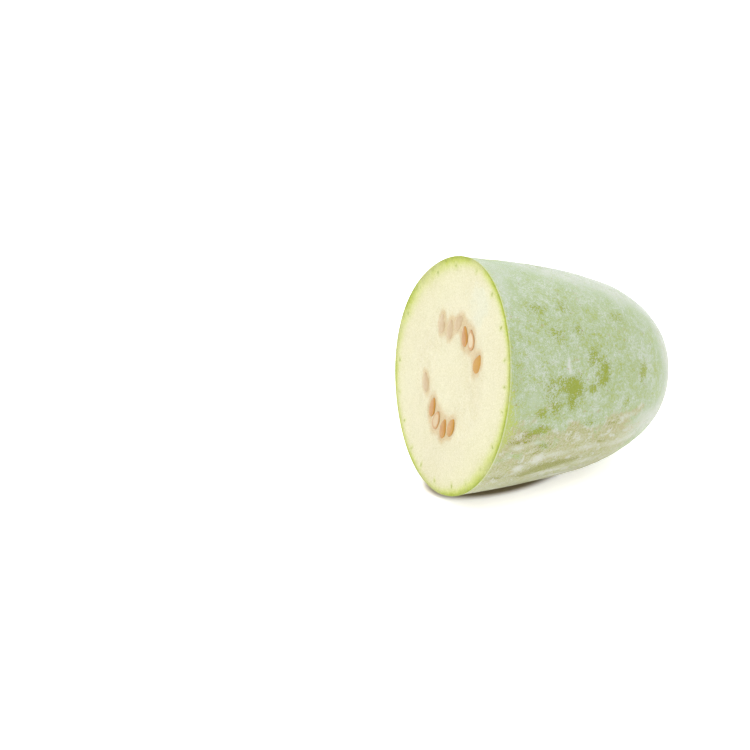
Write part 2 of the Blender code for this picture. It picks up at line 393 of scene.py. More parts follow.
def srgb(red, green, blue):
    """A linear colour from 8-bit display values."""
    shares = [value / 255 for value in (red, green, blue)]
    linear = [share / 12.92 if share <= 0.04045 else ((share + 0.055) / 1.055) ** 2.4 for share in shares]
    return (*linear, 1)


def smoothstep(low, high, values):
    share = np.clip((values - low) / (high - low), 0, 1)
    return share * share * (3 - 2 * share)


def noise_at(points, size, octaves=3):
    """Fractal noise, mostly between -1 and 1, with features of about this size."""
    places = [Vector(point) / size for point in points]
    return np.array([noise.fractal(place, 1.0, 2.0, octaves) for place in places])


# Form of the gourd


def section_factor(angles):
    return 1 + sum(share * np.cos(waves * angles - phase) for waves, share, phase in SECTION_WAVES)


def profile_radius(along):
    return CUT_RADIUS * (1 - TAPER * along) * (1 - along**DOME_POWER) ** (1 / DOME_ROOT)


def cut_plane_x(y, z):
    return math.tan(CUT_LEAN) * z + math.tan(CUT_SKEW) * y


def profile_run():
    """Shares of the length, and the length along the profile up to each."""
    share = np.sin(np.linspace(0, math.pi / 2, PROFILE_SAMPLES))
    steps = np.hypot(np.diff(share) * AXIS_LENGTH, np.diff(profile_radius(share)))
    return share, np.concatenate(([0], np.cumsum(steps)))


def skin_run(along):
    """The length along the skin from the cut to a share of the gourd's length."""
    share, run = profile_run()
    return np.interp(along, share, run)


def skin_shares():
    """Shares of the length that lie evenly along the skin, from the end of the rounded rim."""
    share, run = profile_run()
    even = np.interp(np.linspace(0, run[-1], SKIN_RINGS, endpoint=False), run, share)
    return np.concatenate(([EDGE_ROUND / AXIS_LENGTH], even[1:]))


def cut_depths():
    """Depths under the skin of the cut face's rows, in metres."""
    depths = [EDGE_ROUND]
    for until, step in CUT_ZONES:
        while depths[-1] + step * MM < until * MM:
            depths.append(depths[-1] + step * MM)
    return np.array(depths)


def smooth_skin(along, angles):
    """Points of the skin about the gourd's own axis, with its broad lumps and none of its finer relief."""
    radius = profile_radius(along) * section_factor(angles)
    y, z = radius * np.cos(angles), radius * np.sin(angles)
    points = np.stack((AXIS_LENGTH * along + cut_plane_x(y, z) * (1 - along), y, z), axis=-1)
    lumps = np.array([noise.noise(Vector(point) / LUMP_SIZE) for point in points.reshape(-1, 3)])
    lumps = LUMP_HEIGHT * lumps.reshape(along.shape) * np.minimum(1, LUMP_GROWTH * along)
    points[..., 1] += lumps * np.cos(angles)
    points[..., 2] += lumps * np.sin(angles)
    points[..., 0] -= DIMPLE_DEPTH * np.exp(-((radius / DIMPLE_RADIUS) ** 2)) * along**LUMP_GROWTH
    return points


def grid_normals(points):
    """Outward normals of a grid of points whose rows close on themselves."""
    down = np.gradient(points, axis=0)
    across = np.roll(points, -1, axis=1) - np.roll(points, 1, axis=1)
    normals = np.cross(across, down)
    return normals / np.maximum(np.linalg.norm(normals, axis=-1, keepdims=True), 1e-12)


def lay_down(points):
    """Turns points from the gourd's own axis to where the half lies, before it is moved into place."""
    return points @ np.array(Matrix.Rotation(AXIS_DROP, 3, "Y")).T


def resting_offset(points):
    """The move that puts the laid skin into its solid's box."""
    low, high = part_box(NODE)
    middle = (points.min(axis=0) + points.max(axis=0)) / 2
    sideways = (np.array(low) + np.array(high)) / 2 - middle
    return np.array((sideways[0], sideways[1], low.z - REST_DEPTH - points[:, 2].min()))


# The body's mesh: rows of points from the middle of the cut face, over its rim and along the skin


def seed_places():
    """Each seed's place on the cut face: how far along +Y and +Z from the centre, its lean and its roll."""
    draw = random.Random(DRAW_SEED)
    places = []
    for first, step, count in SEED_GROUPS:
        for i in range(count):
            distance = CUT_RADIUS * (SEED_RING + draw.uniform(-SEED_STRAY, SEED_STRAY))
            angle = math.radians(first + step * i)
            lean = draw.uniform(-SEED_LEAN, SEED_LEAN)
            roll = draw.uniform(-SEED_ROLL, SEED_ROLL)
            places.append((distance * math.cos(angle), distance * math.sin(angle), lean, roll))
    return places


def beyond_seed(y, z, place):
    """How far points of the cut face lie from a seed's middle, as a share of its half size."""
    seed_y, seed_z, lean, _ = place
    side = (y - seed_y) * math.cos(lean) + (z - seed_z) * math.sin(lean)
    upward = (z - seed_z) * math.cos(lean) - (y - seed_y) * math.sin(lean)
    return np.hypot(side / (SEED_WIDTH / 2), upward / (SEED_LENGTH / 2))


def pulp_share(distance):
    """Where the soft pulp lies that holds the seeds: a ring round the middle."""
    share = distance / CUT_RADIUS
    return smoothstep(PULP_RING[0] - PULP_EDGE, PULP_RING[0] + PULP_EDGE, share) * (
        1 - smoothstep(PULP_RING[1] - PULP_EDGE, PULP_RING[1] + PULP_EDGE, share)
    )


def cut_relief(y, z, depths, places):
    """How far the cut face lies behind its plane."""
    flat_points = np.stack((np.zeros_like(y), y, z), axis=-1).reshape(-1, 3)
    rough = noise_at(flat_points, PULP_GRAIN).reshape(y.shape)
    across = y * math.cos(KNIFE_ANGLE) + z * math.sin(KNIFE_ANGLE)
    wander = noise_at(flat_points, KNIFE_WANDER, 2).reshape(y.shape)
    relief = FLESH_SAG * smoothstep(0, FLESH_SAG_DEPTH, depths)
    relief = relief + pulp_share(np.hypot(y, z)) * (PULP_SAG + PULP_ROUGH * rough)
    relief += KNIFE_MARK * np.sin(math.tau * across / KNIFE_STEP + KNIFE_STRAY * wander)
    for kind, place in zip(SEED_KINDS, places):
        beyond = beyond_seed(y, z, place)
        if kind == "veiled":
            relief -= VEIL_BULGE * (1 - smoothstep(*VEIL_EDGE, beyond))
        else:
            relief += POCKET_HOLLOW[kind] * (1 - smoothstep(POCKET_FLOOR, POCKET_MARGIN, beyond))
            relief -= POCKET_LIP * np.exp(-(((beyond - POCKET_MARGIN) / POCKET_LIP_WIDTH) ** 2))
    return relief


def cut_face_points(angles, places):
    """Rows of the cut face from its middle to its rounded rim, and their depths under the skin."""
    depths = cut_depths()[::-1]
    radius = CUT_RADIUS * np.outer(1 - depths / CUT_RADIUS, section_factor(angles))
    y, z = radius * np.cos(angles), radius * np.sin(angles)
    spread = np.repeat(depths[:, None], len(angles), axis=1)
    x = cut_plane_x(y, z) + cut_relief(y, z, spread, places)
    return np.stack((x, y, z), axis=-1), depths


def rim_points(angles):
    """Rows of the rounded rim between the cut face and the skin."""
    turns = np.radians(RIM_TURNS)[:, None]
    radius = CUT_RADIUS * section_factor(angles) - EDGE_ROUND * (1 - np.sin(turns))
    y, z = radius * np.cos(angles), radius * np.sin(angles)
    return np.stack((cut_plane_x(y, z) + EDGE_ROUND * (1 - np.cos(turns)), y, z), axis=-1)


def skin_points(along, angles):
    """Rows of the skin from the rim to the blossom end, with its relief, always inside the smooth form."""
    share, turn = np.meshgrid(along, angles, indexing="ij")
    points = smooth_skin(share, turn)
    flat_points = points.reshape(-1, 3)
    waves = noise_at(flat_points, WAVE_SIZE).reshape(share.shape)
    grain = noise_at(flat_points, GRAIN_SIZE, 2).reshape(share.shape)
    inset = SKIN_INSET + WAVE_HEIGHT * np.clip(0.5 + waves, 0, 1) + GRAIN_HEIGHT * (1 + grain)
    inset = inset + crease_depth(share, turn) + dent_depth(share, turn)
    inset *= smoothstep(0, RELIEF_START, share * AXIS_LENGTH)
    return points - grid_normals(points) * inset[..., None]


def crease_depth(along, angles):
    """Faint creases that run out from the blossom end."""
    ways = [Vector((math.cos(angle), math.sin(angle), 0)) for angle in angles[0]]
    wander = np.array([noise.noise(way * CREASE_NOISE) for way in ways])
    folds = np.clip(np.cos(CREASES * angles[0] + CREASE_WANDER * wander), 0, 1) ** CREASE_SHARPNESS
    return CREASE_DEPTH * folds[None, :] * smoothstep(*CREASE_REACH, along)


def dent_depth(along, angles):
    """Shallow dents in the skin at a few places."""
    depth = np.zeros_like(along)
    for mark in DENTS:
        depth += mark[4] * MM * mark_share(along, angles, mark)
    return depth


def mark_share(along, angles, mark):
    """How strongly a mark reaches each place of the skin: 1 at its middle and a half at its half size."""
    middle, angle, half_length, half_width = mark[:4]
    radius = np.maximum(profile_radius(np.minimum(along, 0.999)), MM)
    turn = (angles - math.radians(angle) + math.pi) % math.tau - math.pi
    run = (skin_run(along) - skin_run(middle)) / (half_length * MM)
    return np.exp2(-(run**2) - (radius * turn / (half_width * MM)) ** 2)


def closed_mesh(name, rows, first, last):
    """A closed mesh of rows of points that close on themselves, between a first and a last point."""
    count, turns = rows.shape[:2]
    row = np.arange(count - 1)[:, None] * turns
    here = np.arange(turns)
    beside = (here + 1) % turns
    quads = np.stack((row + here, row + beside, row + turns + beside, row + turns + here), axis=-1)
    end = (count - 1) * turns
    heads = [(int(b), int(a), count * turns) for a, b in zip(here, beside)]
    tails = [(end + int(a), end + int(b), count * turns + 1) for a, b in zip(here, beside)]
    points = np.concatenate((rows.reshape(-1, 3), [first, last]))
    mesh = bpy.data.meshes.new(name)
    mesh.from_pydata(points.tolist(), [], quads.reshape(-1, 4).tolist() + heads + tails)
    mesh.validate()
    mesh.shade_smooth()
    return mesh


def add_values(mesh, name, values):
    """Stores a number at each point of a mesh, for its material to read."""
    layer = mesh.attributes.new(name, "FLOAT", "POINT")
    layer.data.foreach_set("value", np.asarray(values, dtype=np.float32))


def add_piece(name, mesh, materials):
    """Adds a piece that rides with the half."""
    for material in materials:
        mesh.materials.append(material)
    piece = bpy.data.objects.new(name, mesh)
    bpy.context.scene.collection.objects.link(piece)
    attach(piece, "root")
    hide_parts(NODE)


def strand_phase(degrees):
    """A number that passes a whole number at each vascular strand's angle."""
    count = len(STRAND_ANGLES)
    angles = (STRAND_ANGLES[-1] - 360, *STRAND_ANGLES, STRAND_ANGLES[0] + 360)
    return np.interp(degrees, angles, np.arange(-1, count + 1))


def stain_share(y, z, places):
    """How strongly each point of the cut face is stained by the seeds near it, with the shade of their pockets
    painted in.
    """
    stain = np.zeros_like(y)
    for kind, place in zip(SEED_KINDS, places):
        beyond = np.maximum(beyond_seed(y, z, place) - STAIN_AND_SHADE_START[kind], 0)
        stain += STAIN_AND_SHADE_STRENGTH[kind] * np.exp(-((beyond / STAIN_AND_SHADE_REACH[kind]) ** 2))
    return np.clip(stain, 0, 1)


def painted_highlight_share(y, z, depths):
    """Where a painted highlight makes the cut face paler, between the seeds and the rim."""
    side, upward = (y - PAINTED_HIGHLIGHT_PLACE[0]) / PAINTED_HIGHLIGHT_HALF[0], (z - PAINTED_HIGHLIGHT_PLACE[1]) / PAINTED_HIGHLIGHT_HALF[1]
    return np.exp(-(side**2) - upward**2) * smoothstep(*PAINTED_HIGHLIGHT_DEPTH, depths)


def green_and_shade_depth(depths, angles):
    """Depths under the skin, made shallower at two angles, where the rind's green reaches deeper and painted
    shade and reflected green light are added.
    """
    deeper = 1 + sum(share * lobe(angles, angle, width) for angle, width, share in GREEN_AND_SHADE_LOBES)
    return depths / deeper


def lobe(angles, middle, width):
    """1 at an angle round the axis, falling off on both sides; the middle and half width are in degrees."""
    turn = (np.degrees(angles) - middle + 180) % 360 - 180
    return np.exp(-((turn / width) ** 2))


def rim_share(along, angles):
    """How much the skin next to the cut is scraped to yellow-green."""
    reach = (RIM_REACH + RIM_EXTRA * lobe(angles, *RIM_LOBE)) * MM
    return np.exp(-((along * AXIS_LENGTH / reach) ** 2))


def hidden_marks(count, seed, half_length, half_width, strength):
    """Marks drawn at random for the skin that the photograph doesn't show."""
    draw = random.Random(seed)
    ranges = (*HIDDEN_PLACES, half_length, half_width, strength)
    return [[draw.uniform(*limits) for limits in ranges] for _ in range(count)]


def mark_sum(along, angles, marks):
    """The strengths of all marks at each place of the skin."""
    total = np.zeros_like(along)
    for mark in marks:
        total += mark[4] * mark_share(along, angles, mark)
    return np.clip(total, 0, MARK_LIMIT)


def ground_share(along, angles):
    """Where the skin is tan, on the side that lay on the ground as the gourd grew."""
    turn = np.abs((angles - GROUND_SIDE + math.pi) % math.tau - math.pi)
    lengthwise, sideways, size = GROUND_NOISE
    points = np.stack((lengthwise * along, sideways * np.cos(angles), sideways * np.sin(angles)), axis=-1)
    wander = GROUND_RAGGED * noise_at(points.reshape(-1, 3), size).reshape(along.shape)
    reach = 1 - smoothstep(*GROUND_WIDTH, turn + wander)
    return reach * (1 - smoothstep(*GROUND_END, along + GROUND_END_RAGGED * wander))


def skin_values(along, angles):
    """What the rind's material reads at each point of the skin."""
    share, turn = np.meshgrid(along, angles, indexing="ij")
    return {
        "wear": mark_sum(share, turn, [*WORN_MARKS, *hidden_marks(*HIDDEN_WORN)]),
        "wax_and_highlight": mark_sum(share, turn, [*WAX_AND_HIGHLIGHT_MARKS, *hidden_marks(*HIDDEN_WAX)]),
        "ground": ground_share(share, turn),
        "rim": rim_share(share, turn),
        "beside_cut": share * AXIS_LENGTH / MM,
    }


def cut_values(cut, depths, angles, places):
    """What the flesh's material reads at each point of the cut face."""
    y, z = cut[..., 1], cut[..., 2]
    depth_rows = np.repeat(depths[:, None], SEGMENTS, axis=1)
    return {
        "cut_depth": depth_rows / MM,
        "green_and_shade_depth": green_and_shade_depth(depth_rows, angles[None, :]) / MM,
        "stain": stain_share(y, z, places),
        "pulp": pulp_share(np.hypot(y, z)),
        "painted_highlight": painted_highlight_share(y, z, depth_rows),
    }


def add_strand_phase(mesh, row_count):
    """Stores at each corner of a face how far round the strands it lies, with no jump at the seam."""
    phase = strand_phase(np.arange(SEGMENTS + 1) * 360 / SEGMENTS)
    corners = np.stack((phase[:-1], phase[1:], phase[1:], phase[:-1]), axis=-1)
    quads = np.tile(corners.ravel(), row_count - 1)
    caps = np.zeros(2 * SEGMENTS * 3)
    layer = mesh.attributes.new("strand", "FLOAT", "CORNER")
    layer.data.foreach_set("value", np.concatenate((quads, caps)).astype(np.float32))


def set_flesh(mesh, row_count, flesh_rows):
    """Gives the cut face's rows and its middle the flesh, and leaves the skin the rind."""
    fan = (row_count - 1) * SEGMENTS
    slots = np.zeros(len(mesh.polygons), dtype=np.int32)
    slots[:flesh_rows * SEGMENTS] = 1
    slots[fan:fan + SEGMENTS] = 1
    mesh.polygons.foreach_set("material_index", slots)


def add_body(places):
    """The gourd: its cut face, rim and skin as one closed mesh. Gives the move that put it in its place."""
    angles = np.arange(SEGMENTS) * math.tau / SEGMENTS
    along = skin_shares()
    cut, depths = cut_face_points(angles, places)
    rows = np.concatenate((cut, rim_points(angles), skin_points(along, angles)))
    centre = np.zeros(1)
    middle = (cut_relief(centre, centre, np.array([CUT_RADIUS]), places)[0], 0, 0)
    tip = (AXIS_LENGTH - DIMPLE_DEPTH - SKIN_INSET, 0, 0)

    smooth = smooth_skin(*np.meshgrid(np.concatenate(([0], along)), angles, indexing="ij"))
    offset = resting_offset(lay_down(smooth.reshape(-1, 3)))
    placed = lay_down(rows) + offset
    placed[..., 2] = np.maximum(placed[..., 2], 0)
    ends = lay_down(np.array((middle, tip))) + offset
    mesh = closed_mesh("gourd_half", placed, ends[0], ends[1])

    before_skin = len(cut) + len(RIM_TURNS)
    for name, values in skin_values(along, angles).items():
        before = np.repeat(values[:1], before_skin, axis=0)
        add_values(mesh, name, np.concatenate((before.ravel(), values.ravel(), [0, values[-1, 0]])))
    after_cut = np.zeros((len(rows) - len(cut)) * SEGMENTS)
    for name, values in cut_values(cut, depths, angles, places).items():
        add_values(mesh, name, np.concatenate((values.ravel(), after_cut, [values[0, 0], 0])))
    add_strand_phase(mesh, len(rows))
    add_piece("gourd_half", mesh, (rind_material(), flesh_material()))
    set_flesh(mesh, len(rows), before_skin - 1)
    return offset


def cut_face_frame():
    """Turns a piece from the X = 0 plane onto the cut face."""
    normal = Vector((-1, math.tan(CUT_SKEW), math.tan(CUT_LEAN))).normalized()
    return Vector((-1, 0, 0)).rotation_difference(normal).to_matrix().to_4x4()


def seed_rows(kind, draw):
    """Rows of a seed's points from the middle of its face over its edge to the middle of its back."""
    turns = np.arange(SEED_TURNS) * math.tau / SEED_TURNS
    over = np.linspace(0, math.pi, 2 * SEED_ROWS + 1)[1:-1, None]
    spread = np.sin(over)
    girth = 1 - SEED_NARROWING * np.cos(turns)
    phases = [draw.uniform(0, math.tau) for _ in SEED_WAVES]
    uneven = 1 + sum(SEED_UNEVEN * np.cos(waves * turns + phase) for waves, phase in zip(SEED_WAVES, phases))
    y = SEED_LENGTH / 2 * spread * np.cos(turns) * uneven
    z = SEED_WIDTH / 2 * spread * np.sin(turns) * girth * uneven
    side = np.sign(np.cos(over))
    swell = side * np.abs(np.cos(over)) ** SEED_FLATNESS
    place, width = SEED_MARGIN
    margin = np.exp(-(((spread - place) / width) ** 2))
    thick = SEED_THICKNESS / 2 * swell + SEED_RIDGE * margin * side
    x = -thick * np.ones_like(turns)
    if kind == "cut":
        x = np.maximum(x, SEED_SLICE - SEED_THICKNESS / 2)
    return np.stack((x, y, z), axis=-1), np.repeat(spread, SEED_TURNS, axis=1)


def add_seed(number, kind, place, offset, material):
    """One seed in its pocket of the cut face."""
    draw = random.Random(SEED_DRAW + number)
    y, z, lean, roll = place
    rows, spread = seed_rows(kind, draw)
    half = -rows[0, 0, 0]
    mesh = closed_mesh(f"seed_{number:02d}", rows, (-half, 0, 0), (SEED_THICKNESS / 2, 0, 0))
    add_values(mesh, "spread", np.concatenate((spread.ravel(), [0, 0])))
    add_values(mesh, "tone", np.full(len(mesh.vertices), draw.uniform(*SEED_TONES)))
    sunk = half - SEED_PROUD[kind]
    mesh.transform(
        Matrix.Translation(offset)
        @ Matrix.Rotation(AXIS_DROP, 4, "Y")
        @ cut_face_frame()
        @ Matrix.Translation((sunk, y, z))
        @ Matrix.Rotation(math.pi / 2 + lean, 4, "X")
        @ Matrix.Rotation(roll * ROLL_SHARE if kind == "whole" else 0, 4, "Y")
    )
    add_piece(f"seed_{number:02d}", mesh, (material,))


def add_scar(offset):
    """The corky scar in the dimple of the blossom end, seated a little into the skin."""
    share, _ = profile_run()
    rows = np.linspace(0, 1, SCAR_ROWS + 1)[1:, None]
    turns = np.arange(SCAR_TURNS) * math.tau / SCAR_TURNS
    outline = 1 + sum(height * np.cos(waves * turns + phase) for waves, phase, height in SCAR_OUTLINE)
    radius = SCAR_SIZE * rows * outline
    along = np.interp(radius, profile_radius(share)[::-1], share[::-1])
    y, z = radius * np.cos(turns), radius * np.sin(turns)
    seat = AXIS_LENGTH * along - DIMPLE_DEPTH * np.exp(-((radius / DIMPLE_RADIUS) ** 2))
    rough = noise_at(np.stack((y, z, 0 * y), axis=-1).reshape(-1, 3), SCAR_GRAIN).reshape(y.shape)
    count, wander, narrow, deep = SCAR_FURROWS
    furrows = np.clip(np.cos(count * turns + wander * rough), 0, 1) ** narrow
    fall = rows**SCAR_POWER
    rise = SCAR_RISE * (1 - deep * furrows * rows) + SCAR_ROUGH * rough
    top = np.stack((seat + rise * (1 - fall) - SCAR_SEAT * fall, y, z), axis=-1)
    under = np.stack((seat - SCAR_SEAT - SCAR_THICKNESS * (1 - fall), y, z), axis=-1)
    points = lay_down(np.concatenate((top, under[:-1][::-1]))) + offset
    tip = AXIS_LENGTH - DIMPLE_DEPTH
    middles = ((tip + SCAR_RISE * SCAR_TIP, 0, 0), (tip - SCAR_SEAT - SCAR_THICKNESS, 0, 0))
    ends = lay_down(np.array(middles)) + offset
    mesh = closed_mesh("blossom_scar", points, ends[0], ends[1])
    mesh.flip_normals()
    add_piece("blossom_scar", mesh, (cork_material(),))


# Materials


class Shader:
    """Builds one material out of nodes, in object coordinates."""

    def __init__(self, name, noises=(), light=SKIN_LIGHT):
        self.material = bpy.data.materials.new(name)
        self.material.use_nodes = True
        self.tree = self.material.node_tree
        self.surface = self.tree.nodes["Principled BSDF"]
        self.place = self.node("TexCoord").outputs["Object"]
        self.light = light
        self.noises = {key: self.noise(*values) for key, values in dict(noises).items()}

    def node(self, kind, inputs=(), **settings):
        made = self.tree.nodes.new("ShaderNode" + kind)
        for key, value in settings.items():
            setattr(made, key, value)
        for key, value in dict(inputs).items():
            self.put(value, made.inputs[key])
        return made

    def put(self, value, socket):
        """Links a value from another node, or sets a plain one."""
        if isinstance(value, bpy.types.NodeSocket):
            self.tree.links.new(value, socket)
        else:
            socket.default_value = value

    def attribute(self, name):
        return self.node("Attribute", attribute_name=name).outputs["Fac"]

    def stretched(self, length, turn=(0, 0, 0)):
        """Coordinates that draw a pattern out along X, or along an axis turned from it."""
        inputs = {"Vector": self.place, "Scale": (length, 1, 1), "Rotation": turn}
        return self.node("Mapping", inputs, vector_type="TEXTURE").outputs[0]

    def noise(self, size, detail=3, rough=0.5, place=None):
        """Noise about a half, with features of about this size in metres."""
        inputs = {"Vector": place or self.place, "Scale": 1 / size, "Detail": detail, "Roughness": rough}
        return self.node("TexNoise", inputs).outputs["Fac"]

    def cells(self, size, place=None):
        """The distance from the nearest of many scattered points, as a share of their spacing."""
        inputs = {"Vector": place or self.place, "Scale": 1 / size}
        return self.node("TexVoronoi", inputs).outputs["Distance"]

    def math(self, operation, first, second=0.0, third=0.0):
        return self.node("Math", {0: first, 1: second, 2: third}, operation=operation).outputs[0]

    def around(self, value, strength):
        """How far a noise value lies above or below its middle, scaled."""
        return self.math("MULTIPLY_ADD", value, strength, -strength / 2)

    def total(self, *terms):
        result = terms[0]
        for term in terms[1:]:
            result = self.math("ADD", result, term)
        return result

    def varied(self, value, **shares):
        """A value with the material's noises added, each with its share."""
        return self.total(value, *[self.around(self.noises[key], share) for key, share in shares.items()])

    def times(self, first, second):
        return self.math("MULTIPLY", first, second)

    def step(self, value, low, high, start=0.0, end=1.0):
        """A smooth change from start to end as the value goes from low to high."""
        inputs = {"Value": value, "From Min": low, "From Max": high, "To Min": start, "To Max": end}
        return self.node("MapRange", inputs, interpolation_type="SMOOTHSTEP").outputs[0]

    def mix(self, share, first, second, blend="MIX"):
        inputs = {0: share, 6: first, 7: second}
        return self.node("Mix", inputs, data_type="RGBA", blend_type=blend).outputs[2]

    def tinted(self, share, colour, tint):
        """A colour with a share of an 8-bit tint over it."""
        return self.mix(share, colour, shade(*tint, self.light))

    def ramp(self, share, stops):
        made = self.node("ValToRGB", {"Fac": share})
        elements = made.color_ramp.elements
        while len(elements) < len(stops):
            elements.new(0.5)
        for element, (position, colour) in zip(elements, stops):
            element.position = position
            element.color = colour
        return made.outputs["Color"]

    def tints(self, share, stops):
        """A ramp between 8-bit tints."""
        return self.ramp(share, [(position, shade(*tint, self.light)) for position, tint in stops])

    def bump(self, height, distance, strength):
        inputs = {"Height": height, "Distance": distance, "Strength": strength}
        self.put(self.node("Bump", inputs).outputs[0], self.surface.inputs["Normal"])

    def finish(self, **inputs):
        """Sets the surface's inputs, and gives the finished material."""
        for name, value in inputs.items():
            self.put(value, self.surface.inputs[name.replace("_", " ")])
        return self.material


def shade(red, green, blue, light):
    """A surface colour that looks like this 8-bit colour under the scene's light."""
    return (*[value / light for value in srgb(red, green, blue)[:3]], 1)


def torn_ground(nodes, worn):
    """Tan corky skin, olive where it is rubbed, and torn in streaks."""
    tone = nodes.total(nodes.varied(0.5, streaks=1.1, fine=1.4, dust=2.0), nodes.times(worn, GROUND_WORN))
    tan = nodes.tints(tone, GROUND_TINTS)
    torn = nodes.step(nodes.varied(0.0, streaks=1.0, fine=0.3, dust=0.2), *TORN_RANGE)
    cover = nodes.step(worn, *TORN_COVER)
    return nodes.tinted(nodes.times(torn, cover), tan, TORN_TINT)


def with_ground(nodes, colour, worn, waxed_and_highlit):
    """The skin's colour with the ground side over it, under greyish blotches of bloom."""
    blotches = nodes.step(nodes.varied(0.0, middle=1.0, fine=0.24), *BLOTCH_RANGE)
    blotches = nodes.times(blotches, nodes.step(worn, *BLOTCH_COVER))
    wax_and_highlight = nodes.times(nodes.step(waxed_and_highlit, *BLOTCH_WAX_RANGE), BLOTCH_WAX_COVER)
    cover = nodes.math("MINIMUM", nodes.total(blotches, wax_and_highlight), BLOTCH_LIMIT)
    ground = nodes.tinted(cover, torn_ground(nodes, worn), BLOTCH_TINT)
    edge = nodes.varied(nodes.attribute("ground"), streaks=0.9, middle=1.1, fine=0.8)
    return nodes.mix(nodes.step(edge, *GROUND_RANGE), colour, ground)


def with_rim(nodes, colour, rim):
    """The skin's colour with the scraped strip beside the cut, and the whitish line along it, partly broken
    wax and partly a painted highlight.
    """
    colour = nodes.tinted(nodes.times(rim, RIM_COVER), colour, RIM_TINT)
    beside_cut = nodes.attribute("beside_cut")
    fade_in, fade_out, breaks = EDGE_WAX_AND_HIGHLIGHT_LINE
    wax_and_highlight_line = nodes.times(nodes.step(beside_cut, *fade_in), nodes.step(beside_cut, *fade_out))
    wax_and_highlight_line = nodes.times(wax_and_highlight_line, nodes.step(nodes.noises["fine"], *breaks))
    # the whitish line: partly broken wax, partly a painted highlight
    return nodes.tinted(wax_and_highlight_line, colour, EDGE_WAX_AND_HIGHLIGHT_TINT)


def with_tears(nodes, colour):
    """The skin's colour with corky tears."""
    tears = nodes.step(nodes.noise(*TEAR_NOISE, nodes.stretched(TEAR_STRETCH)), *TEAR_RANGE)
    tears = nodes.times(tears, nodes.step(nodes.noise(*TEAR_FIELDS), *TEAR_FIELD_RANGE))
    return nodes.tinted(nodes.times(tears, TEAR_COVER), colour, TEAR_TINT)


def with_dots(nodes, colour, dots, tint):
    """The skin's colour with scattered round marks."""
    spacing, edge, field, cover = dots
    allowed = nodes.step(nodes.noises["middle"], *field)
    marks = nodes.times(nodes.step(nodes.cells(spacing), *edge), allowed)
    return nodes.tinted(nodes.times(marks, cover), colour, tint)


def scratches(nodes):
    """Fine scratches, short and straight, that run in a few directions."""
    lines = 0.0
    for turn in SCRATCH_TURNS:
        apart = nodes.cells(SCRATCH_SPACING, nodes.stretched(SCRATCH_STRETCH, turn))
        lines = nodes.math("MAXIMUM", lines, nodes.step(apart, *SCRATCH_EDGE))
    return lines


def rind_material():
    """Green rind under a pale waxy bloom, rubbed thin in places, tan where it lay on the ground, and paler
    along the top and round the far end, partly thick bloom and partly a painted highlight.
    """
    nodes = Shader("waxy_rind", RIND_NOISES)
    nodes.noises["streaks"] = nodes.noise(*STREAK_NOISE, nodes.stretched(STREAK_STRETCH))
    flecks = nodes.step(nodes.varied(0.5, middle=0.20, fine=0.38, dust=0.42), *FLECK_RANGE)

    def broken_up(name, limits):
        return nodes.step(nodes.math("SUBTRACT", nodes.attribute(name), flecks), *limits)

    worn = broken_up("wear", WORN_RANGE)
    # thick bloom, with a painted highlight along the top and round the far end
    waxed_and_highlit = broken_up("wax_and_highlight", WAX_AND_HIGHLIGHT_RANGE)
    flakes = nodes.math("MULTIPLY_ADD", nodes.cells(FLAKE_SIZE), BLOOM_FLAKES, BLOOM_MIDDLE)
    bloom = nodes.total(
        nodes.varied(flakes, large=0.72, middle=1.00, fine=1.20, dust=1.8), nodes.times(worn, BLOOM_WORN),
        nodes.times(nodes.attribute("wear"), BLOOM_WEAR), nodes.times(waxed_and_highlit, BLOOM_WAX_AND_HIGHLIGHT),
    )
    colour = nodes.tints(bloom, BLOOM_TINTS)
    colour = with_ground(nodes, colour, worn, waxed_and_highlit)
    colour = with_rim(nodes, colour, broken_up("rim", RIM_RANGE))
    colour = with_tears(nodes, colour)
    colour = with_dots(nodes, colour, SPECKS, SPECK_TINT)
    colour = with_dots(nodes, colour, WAX_GRAINS, WAX_TINT)
    lines = scratches(nodes)
    colour = nodes.tinted(nodes.times(lines, SCRATCH_COVER), colour, WAX_TINT)

    height = nodes.total(bloom, nodes.times(nodes.noises["dust"], 0.35), nodes.times(lines, -0.4))
    nodes.bump(height, distance=0.16 * MM, strength=0.8)
    return nodes.finish(
        Base_Color=colour, Roughness=nodes.step(bloom, low=0.10, high=0.60, start=0.46, end=0.74),
        Sheen_Weight=0.36, Sheen_Roughness=0.32, Sheen_Tint=srgb(228, 237, 234), Specular_IOR_Level=0.35,
        Subsurface_Weight=0.06, Subsurface_Radius=(0.9, 1.0, 0.4), Subsurface_Scale=1.2 * MM,
    )


def with_strands(nodes, colour):
    """The flesh's colour with a dot in a halo at each vascular strand."""
    phase = nodes.attribute("strand")
    nearest = nodes.math("ROUND", phase)
    chance = nodes.node("TexWhiteNoise", {"W": nearest}, noise_dimensions="1D").outputs["Value"]
    sideways = nodes.times(nodes.math("SUBTRACT", phase, nearest), STRAND_SPACING / STRAND_SIZE[0])
    depth = nodes.math("MULTIPLY_ADD", chance, STRAND_STRAY, STRAND_DEPTH - STRAND_STRAY / 2)
    inward = nodes.math("SUBTRACT", nodes.attribute("cut_depth"), depth)
    inward = nodes.math("DIVIDE", inward, STRAND_SIZE[1])
    squares = nodes.math("MULTIPLY_ADD", sideways, sideways, nodes.times(inward, inward))
    apart = nodes.varied(nodes.math("SQRT", squares), grain=1.6)
    halo = nodes.step(apart, *HALO_EDGE)
    colour = nodes.tinted(halo, colour, STRAND_HALO)
    dot = nodes.times(nodes.step(apart, *DOT_EDGE), nodes.step(chance, *DOT_COVER))
    return nodes.tinted(dot, colour, STRAND_TINT)


